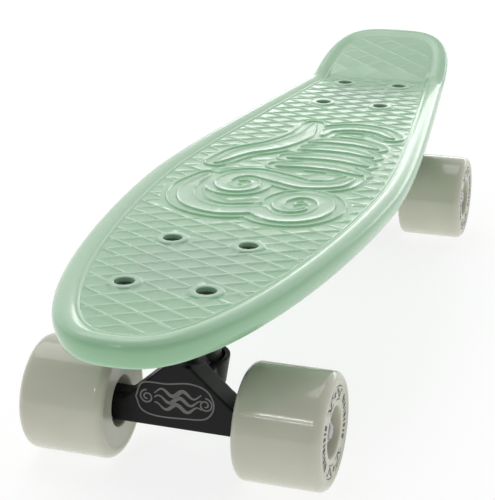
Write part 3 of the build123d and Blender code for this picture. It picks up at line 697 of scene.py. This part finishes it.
def mark_tread(tyre, axle_y):
    """Write how near each point is to the tread, which is glossier than the side faces."""
    places = np.array([tuple(v.co) for v in tyre.data.vertices]) / MM
    radius = np.hypot(places[:, 1] - axle_y, places[:, 2] - WHEEL_RADIUS)
    tread = np.clip((radius - GLOSS_START) / GLOSS_FADE, 0, 1)
    layer = tyre.data.attributes.new("tread", "FLOAT", "POINT")
    layer.data.foreach_set("value", tread.astype(np.float32))


def flat_band(shell, path, width, to_space, thick):
    """A thin raised line of even width along a plane path."""
    path = np.asarray(path, float)
    along = np.gradient(path, axis=0)
    along /= np.maximum(np.linalg.norm(along, axis=1), 1e-9)[:, None]
    across = np.column_stack([-along[:, 1], along[:, 0]])
    half = np.broadcast_to(np.asarray(width, float) / 2, len(path))[:, None]
    flat_shape(shell, np.vstack([path + across * half, (path - across * half)[::-1]]), to_space,
               thick, len(path))


def flat_shape(shell, ring, to_space, thick, strip=0):
    """A thin raised shape from its closed outline; a strip's two sides are joined across."""
    count = len(ring)
    top = [to_space(x, y, 0) for x, y in ring]
    low = [to_space(x, y, thick) for x, y in ring]
    faces = [(i, (i + 1) % count, count + (i + 1) % count, count + i) for i in range(count)]
    if strip:
        caps = [(i, i + 1, count - 2 - i, count - 1 - i) for i in range(strip - 1)]
    else:
        caps = [tuple(range(count))]
    faces += caps + [tuple(count + i for i in cap) for cap in caps]
    shell.add(top + low, faces)


def polar(radius, degrees):
    turn = np.radians(degrees)
    return np.column_stack([radius * np.cos(turn), radius * np.sin(turn)])


STAR_POINTS = 5
STAR_WAIST = 0.42
PRINT_PROUD = 0.04
PRINT_THICK = 0.2
PRINT_MIDDLE = 19.8
BAR_RADII = (17.6, 22.0)
BAR_WIDTHS = (3.4, 1.6, 2.6, 1.6, 3.4, 1.2, 2.6, 1.6, 3.4)  # half widths in degrees
BAR_PITCH = 8


def star(radius, degrees, size):
    """A star's outline, centred on a ring of that radius."""
    middle = polar(radius, [degrees])[0]
    corner = np.arange(2 * STAR_POINTS)
    turn = corner * math.pi / STAR_POINTS + math.radians(degrees)
    reach = np.where(corner % 2 == 0, size, size * STAR_WAIST)
    return np.column_stack([middle[0] + reach * np.cos(turn), middle[1] + reach * np.sin(turn)])


def make_wheel_print(name, centre_x, axle_y, side):
    """Dark print on a wheel's outer face: bars, stars and leaf scrolls, with no lettering."""
    shell = Shell()
    face = WHEEL_HALF - DISH + PRINT_PROUD

    def on_face(a, b, sunk):
        return (centre_x + side * (face - sunk), axle_y + a, WHEEL_RADIUS + b)

    for start in (-32, 148):
        for i, wide in enumerate(BAR_WIDTHS):
            middle = start + i * BAR_PITCH
            inner, outer = BAR_RADII
            corners = ((inner, -1), (outer, -1), (outer, 1), (inner, 1))
            bar = [polar(radius, [middle + way * wide])[0] for radius, way in corners]
            flat_shape(shell, bar, on_face, PRINT_THICK)
    for middle in (90, 270):
        for away, size in ((0, 2.3), (-22, 1.3), (22, 1.3)):
            flat_shape(shell, star(PRINT_MIDDLE, middle + away, size), on_face, PRINT_THICK)
        for lean in (-1, 1):
            turn = np.linspace(0, 1, 26)
            scroll = polar(19.6 + 2.1 * np.sin(turn * 9), middle + lean * (8 + 34 * turn))
            flat_band(shell, scroll, 0.35 + 0.75 * np.sin(turn * math.pi), on_face, PRINT_THICK)
            for radius in (16.4, 22.9):
                arc = polar(radius, middle + lean * (6 + 30 * turn))
                flat_band(shell, arc, 0.3 + 0.3 * np.sin(turn * math.pi), on_face, PRINT_THICK)
    return shell.build(name)


# ---------------------------------------------------------------- trucks
HANGER_FACE = 7.5
ENGRAVING_PROUD = 0.03
ENGRAVING_DEPTH = 0.35
ENGRAVING_MIDDLE = (-1.5, 38.7)
CASTING_VOXEL = 0.62
CASTING_ROUNDS = 5
WELD_DISTANCE = 2e-6  # metres


def make_casting(node):
    """A CAD casting with the softened edges and inner corners that a mould leaves."""
    piece = linked(f"{node}_casting", frame["nodes"][node].data.copy())
    bm = bmesh.new()
    bm.from_mesh(piece.data)
    bmesh.ops.remove_doubles(bm, verts=bm.verts, dist=WELD_DISTANCE)
    bm.to_mesh(piece.data)
    bm.free()
    piece.data.materials.clear()
    blocky = piece.modifiers.new("skin", "REMESH")
    blocky.mode = "VOXEL"
    blocky.voxel_size = CASTING_VOXEL * MM
    blocky.use_smooth_shade = True
    soft = piece.modifiers.new("soften", "SMOOTH")
    soft.factor = 0.5
    soft.iterations = CASTING_ROUNDS
    bpy.context.view_layer.update()
    mesh = bpy.data.meshes.new_from_object(piece.evaluated_get(bpy.context.evaluated_depsgraph_get()))
    piece.modifiers.clear()
    piece.data = mesh
    mesh.shade_smooth()
    return piece


def make_engraving(name, axle_y, side):
    """Bare-metal line pattern on the hanger's outer face: waves, curls and a border line."""
    shell = Shell()

    def on_face(a, b, sunk):
        return (a * side, axle_y - side * (HANGER_FACE + ENGRAVING_PROUD - sunk), b)

    border = smooth_path([(-23, 38), (-19, 46), (-6, 47), (6, 48.7), (15, 46), (18.5, 38), (14, 30.7),
                          (2, 29), (-12, 28.5), (-20, 31), (-23, 38)], 8)
    flat_band(shell, border, 0.8, on_face, ENGRAVING_DEPTH)
    for row in range(3):
        t = np.linspace(-1, 1, 40)
        wave = np.column_stack([ENGRAVING_MIDDLE[0] + 1 + 12.5 * t,
                                ENGRAVING_MIDDLE[1] + 3.6 - 3.9 * row + 1.7 * np.sin(t * 7 + row)])
        width = 0.7 + 1.5 * np.cos(t * math.pi / 2) ** 2
        flat_band(shell, wave, width, on_face, ENGRAVING_DEPTH)
    for x, z, way in ((-17.0, 38.5, 1), (14.0, 38.2, -1)):
        curl = spiral((x, z), (3.9, 0.9), (90, 90 + way * 560), 40)
        flat_band(shell, curl, 0.85, on_face, ENGRAVING_DEPTH)
    return shell.build(name)


# ---------------------------------------------------------------- materials
def start_material(name, colour, roughness, metallic=0.0, **sockets):
    """A Principled material with constants on its own sockets."""
    material = bpy.data.materials.new(name)
    material.use_nodes = True
    shader = material.node_tree.nodes["Principled BSDF"]
    shader.inputs["Base Color"].default_value = (*colour, 1)
    shader.inputs["Roughness"].default_value = roughness
    shader.inputs["Metallic"].default_value = metallic
    for socket, value in sockets.items():
        shader.inputs[socket.replace("_", " ")].default_value = value
    return material, material.node_tree, shader


def coordinates(tree):
    return tree.nodes.new("ShaderNodeTexCoord").outputs["Object"]


def noise(tree, scale, detail=3.0, stretch=None):
    """Noise in the piece's own space; scale is in waves per metre."""
    node = tree.nodes.new("ShaderNodeTexNoise")
    node.inputs["Scale"].default_value = scale
    node.inputs["Detail"].default_value = detail
    place = coordinates(tree)
    if stretch:
        mapping = tree.nodes.new("ShaderNodeMapping")
        mapping.inputs["Scale"].default_value = stretch
        tree.links.new(place, mapping.inputs["Vector"])
        place = mapping.outputs["Vector"]
    tree.links.new(place, node.inputs["Vector"])
    return node.outputs["Fac"]


def spread(tree, value, low, high, start=0.3, end=0.7):
    """A value mapped from start..end to low..high."""
    node = tree.nodes.new("ShaderNodeMapRange")
    node.inputs["From Min"].default_value = start
    node.inputs["From Max"].default_value = end
    node.inputs["To Min"].default_value = low
    node.inputs["To Max"].default_value = high
    tree.links.new(value, node.inputs["Value"])
    return node.outputs["Result"]


def blended(tree, factor, first, second):
    """Two colours mixed by a factor; each is a colour or a socket."""
    node = tree.nodes.new("ShaderNodeMix")
    node.data_type = "RGBA"
    tree.links.new(factor, node.inputs["Factor"])
    for socket, colour in (("A", first), ("B", second)):
        target = [s for s in node.inputs if s.name == socket and s.type == "RGBA"][0]
        if isinstance(colour, bpy.types.NodeSocket):
            tree.links.new(colour, target)
        else:
            target.default_value = (*colour, 1)
    return [s for s in node.outputs if s.type == "RGBA"][0]


def bumped(tree, shader, value, strength, distance):
    node = tree.nodes.new("ShaderNodeBump")
    node.inputs["Strength"].default_value = strength
    node.inputs["Distance"].default_value = distance
    tree.links.new(value, node.inputs["Height"])
    tree.links.new(node.outputs["Normal"], shader.inputs["Normal"])


MINT = (0.34, 0.585, 0.37)
MINT_DEEP = (0.31, 0.55, 0.34)
# Painted highlight: the paler mint that raised lines are mixed towards.
MINT_RIDGE_HIGHLIGHT = (0.48, 0.69, 0.51)
# Painted shade: the greyer mint round each truck's plate, where the dark truck shows through the
# plastic from below.
MINT_SHADED = (0.36, 0.45, 0.40)
SHADE_HALF_X = 29
SHADE_HALF_Y = 40
SHADE_INNER = 9
SHADE_OUTER = 7


def deck_material():
    """Milky mint plastic: painted highlight on raised lines, painted shade where the trucks darken it
    from below.
    """
    material, tree, shader = start_material(
        "mint_plastic", MINT, 0.2, Subsurface_Weight=0.45, Subsurface_Scale=0.004,
        Coat_Weight=0.25, Coat_Roughness=0.08)
    shader.inputs["Subsurface Radius"].default_value = (0.6, 1.0, 0.75)
    body = blended(tree, spread(tree, noise(tree, 22, 2), 0, 1), MINT_DEEP, MINT)
    relief = tree.nodes.new("ShaderNodeAttribute")
    relief.attribute_name = "relief"
    # Painted highlight on raised lines, blended in by the relief attribute.
    colour = blended(tree, spread(tree, relief.outputs["Fac"], 0, 0.6, 0, 1), body, MINT_RIDGE_HIGHLIGHT)
    apart = tree.nodes.new("ShaderNodeSeparateXYZ")
    tree.links.new(coordinates(tree), apart.inputs["Vector"])
    # Painted shade round each truck's plate: the dark truck seen through the plastic from below.
    for end in ENDS:
        shade = None
        for axis, middle, half in (("X", 0, SHADE_HALF_X), ("Y", PLATE_Y[end], SHADE_HALF_Y)):
            away = tree.nodes.new("ShaderNodeMath")
            away.operation = "SUBTRACT"
            away.inputs[1].default_value = middle * MM
            tree.links.new(apart.outputs[axis], away.inputs[0])
            size = tree.nodes.new("ShaderNodeMath")
            size.operation = "ABSOLUTE"
            tree.links.new(away.outputs[0], size.inputs[0])
            edge = spread(tree, size.outputs[0], 1, 0, (half - SHADE_INNER) * MM,
                          (half + SHADE_OUTER) * MM)
            if shade is None:
                shade = edge
                continue
            both = tree.nodes.new("ShaderNodeMath")
            both.operation = "MULTIPLY"
            tree.links.new(shade, both.inputs[0])
            tree.links.new(edge, both.inputs[1])
            shade = both.outputs[0]
        colour = blended(tree, spread(tree, shade, 0, 0.32, 0, 1), colour, MINT_SHADED)
    tree.links.new(colour, shader.inputs["Base Color"])
    tree.links.new(spread(tree, noise(tree, 160), 0.15, 0.27), shader.inputs["Roughness"])
    bumped(tree, shader, noise(tree, 420, 2), 0.05, 0.0004)
    return material


def wheel_material():
    """Milky cast urethane: a little cloudy, glossier on the tread, with faint turning lines."""
    material, tree, shader = start_material(
        "milky_urethane", (0.58, 0.59, 0.49), 0.16, Subsurface_Weight=0.4, Subsurface_Scale=0.006,
        Coat_Weight=0.35, Coat_Roughness=0.05)
    shader.inputs["Subsurface Radius"].default_value = (1.0, 0.9, 0.7)
    cloud = blended(tree, spread(tree, noise(tree, 26, 2), 0, 1), (0.56, 0.56, 0.455),
                    (0.61, 0.61, 0.505))
    tree.links.new(cloud, shader.inputs["Base Color"])
    tread = tree.nodes.new("ShaderNodeAttribute")
    tread.attribute_name = "tread"
    tree.links.new(spread(tree, tread.outputs["Fac"], 0.36, 0.15, 0, 1), shader.inputs["Roughness"])
    tree.links.new(spread(tree, tread.outputs["Fac"], 0.05, 0.4, 0, 1), shader.inputs["Coat Weight"])
    bumped(tree, shader, noise(tree, 300, 1, (3, 0.3, 0.3)), 0.02, 0.0002)
    return material


def grained_material(name, low, high, rough, metallic, scale, bump, stretch=None, **sockets):
    """A material whose colour, roughness and surface vary with one noise."""
    material, tree, shader = start_material(name, low, rough[0], metallic, **sockets)
    grain = noise(tree, scale, 4, stretch)
    tree.links.new(blended(tree, spread(tree, grain, 0, 1), low, high), shader.inputs["Base Color"])
    tree.links.new(spread(tree, grain, *rough), shader.inputs["Roughness"])
    bumped(tree, shader, noise(tree, scale * 1.7, 3, stretch), *bump)
    return material


def make_materials():
    """One material for every slot of the record."""
    dark = (0.004, 0.004, 0.0045)
    return {
        "deck_plastic": deck_material(),
        "wheel_urethane": wheel_material(),
        "truck_black": grained_material("black_coat", dark, (0.008, 0.008, 0.0085), (0.38, 0.52), 0.0,
                                        700, (0.12, 0.0003), Specular_IOR_Level=0.22),
        "pad_rubber": grained_material("pad_rubber", (0.012,) * 3, (0.022,) * 3, (0.6, 0.8), 0, 900,
                                       (0.2, 0.0004)),
        "cup_plastic": grained_material("black_ink", (0.012,) * 3, (0.022,) * 3, (0.4, 0.6), 0, 800,
                                        (0.05, 0.0002)),
        "bolt_steel": grained_material("zinc_steel", (0.42, 0.42, 0.44), (0.6, 0.6, 0.62),
                                       (0.22, 0.42), 1.0, 500, (0.05, 0.0002)),
        "black_bolt": grained_material("black_oxide", (0.01,) * 3, (0.03,) * 3, (0.3, 0.5), 0.6, 900,
                                       (0.08, 0.0002)),
        "axle_steel": grained_material("ground_steel", (0.34, 0.34, 0.33), (0.5, 0.5, 0.49),
                                       (0.25, 0.45), 1.0, 600, (0.06, 0.0002), (0.15, 1, 1)),
        "bushing_urethane": grained_material("black_urethane", (0.02,) * 3, (0.035,) * 3,
                                             (0.3, 0.45), 0, 300, (0.05, 0.0003)),
        "bearing_steel": grained_material("bearing_steel", (0.55, 0.55, 0.56), (0.7, 0.7, 0.7),
                                          (0.12, 0.25), 1.0, 500, (0.03, 0.0001)),
        "cage_plastic": grained_material("pale_nylon", (0.60, 0.60, 0.56), (0.7, 0.7, 0.66),
                                         (0.45, 0.6), 0, 600, (0.06, 0.0002)),
    }


MATERIALS = make_materials()
ETCHED = grained_material("etched_metal", (0.13, 0.13, 0.125), (0.19, 0.19, 0.18), (0.45, 0.6), 0.3,
                          900, (0.06, 0.0002))


def dress(piece, slot, body=None, replaced=None, material=None):
    """Give a new piece its material (its slot's, unless one is given) and body, and hide the CAD node
    that it stands for.
    """
    piece.data.materials.clear()
    piece.data.materials.append(material or MATERIALS[slot])
    if body:
        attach(piece, body)
    if replaced:
        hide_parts(replaced)


for subpart in frame["record"]["subparts"]:
    node = frame["nodes"][subpart["node"]]
    node.data.materials.clear()
    node.data.materials.append(MATERIALS[subpart["material_slot"]])

# ---------------------------------------------------------------- pieces
dress(make_deck(), "deck_plastic", "board", "deck")

for end in ENDS:
    outward = 1 if end == "front" else -1
    dress(make_casting(f"{end}_hanger"), "truck_black", f"{end}_truck_hanger", f"{end}_hanger")
    dress(make_casting(f"{end}_baseplate"), "truck_black", "board", f"{end}_baseplate")
    dress(make_engraving(f"{end}_hanger_engraving", AXLE_Y[end], outward), "axle_steel",
          f"{end}_truck_hanger", material=ETCHED)
    for hand in HANDS:
        side = 1 if hand == "left" else -1
        body = f"{end}_{hand}_wheel_set"
        tyre = turned(f"{end}_{hand}_tyre", wheel_section(), side * WHEEL_X, AXLE_Y[end], side)
        mark_tread(tyre, AXLE_Y[end])
        dress(tyre, "wheel_urethane", body, f"{end}_{hand}_wheel")
        dress(make_wheel_print(f"{end}_{hand}_print", side * WHEEL_X, AXLE_Y[end], side),
              "cup_plastic", body)

# ---------------------------------------------------------------- stage, lights and camera
FLOOR_HALF = 6.0
bm = bmesh.new()
bmesh.ops.create_grid(bm, x_segments=8, y_segments=8, size=FLOOR_HALF)
floor_mesh = bpy.data.meshes.new("floor")
bm.to_mesh(floor_mesh)
bm.free()
floor = linked("floor", floor_mesh)
floor_material, _, floor_shader = start_material(
    "pale_floor", (0.25, 0.25, 0.25), 0.9, Specular_IOR_Level=0.0, Emission_Strength=0.8)
floor_shader.inputs["Emission Color"].default_value = (1, 1, 1, 1)
floor_mesh.materials.append(floor_material)


def area_light(name, place, target, size, power, size_y=None):
    """A soft rectangular lamp aimed at a point."""
    lamp = bpy.data.lights.new(name, "AREA")
    lamp.shape = "RECTANGLE"
    lamp.size = size
    lamp.size_y = size_y or size
    lamp.energy = power
    holder = bpy.data.objects.new(name, lamp)
    holder.location = place
    holder.rotation_euler = (Vector(target) - Vector(place)).to_track_quat("-Z", "Y").to_euler()
    bpy.context.scene.collection.objects.link(holder)


MIDDLE = (0, 0, 0.08)
FRONT_TRUCK = (0.056, -0.2, 0.03)
area_light("top_softbox", (-0.6, 0.5, 1.7), MIDDLE, 1.4, 9.5)
area_light("back_softbox", (0.2, 2.4, 0.55), (0, 0, 0.1), 2.6, 6.5, 0.45)
area_light("front_strip", (-0.352, -1.29, 0.99), FRONT_TRUCK, 0.215, 0.6, 0.045)
area_light("front_strip_low", (-0.3, -1.39, 0.865), FRONT_TRUCK, 0.11, 0.14, 0.025)

world = bpy.data.worlds.new("studio")
bpy.context.scene.world = world
world.use_nodes = True
sky = world.node_tree
background = sky.nodes["Background"]
direction = sky.nodes.new("ShaderNodeTexCoord")
aside = sky.nodes.new("ShaderNodeVectorMath")
aside.operation = "DOT_PRODUCT"
aside.inputs[1].default_value = (-0.15, 0.8, -0.4)
sky.links.new(direction.outputs["Generated"], aside.inputs[0])
glow = blended(sky, spread(sky, aside.outputs["Value"], 0, 1, -0.5, 0.6), (0.42, 0.42, 0.42),
               (1.0, 1.0, 1.0))
sky.links.new(glow, background.inputs["Color"])
background.inputs["Strength"].default_value = 1.0

CAMERA_PLACE = (0.21845, -0.76459, 0.34021)
CAMERA_AZIMUTH = math.radians(18.13)
CAMERA_ELEVATION = math.radians(20.38)
CAMERA_ROLL = math.radians(-0.19)
camera_data = bpy.data.cameras.new("camera")
camera_data.lens = 96.36
camera_data.sensor_width = 36.0
camera = bpy.data.objects.new("camera", camera_data)
aim = Matrix.Rotation(CAMERA_AZIMUTH, 4, "Z")
aim = aim @ Matrix.Rotation(math.pi / 2 - CAMERA_ELEVATION, 4, "X")
aim = aim @ Matrix.Rotation(CAMERA_ROLL, 4, "Z")
camera.matrix_world = Matrix.Translation(CAMERA_PLACE) @ aim
bpy.context.scene.collection.objects.link(camera)
bpy.context.scene.camera = camera
bpy.context.scene.view_settings.view_transform = "Standard"
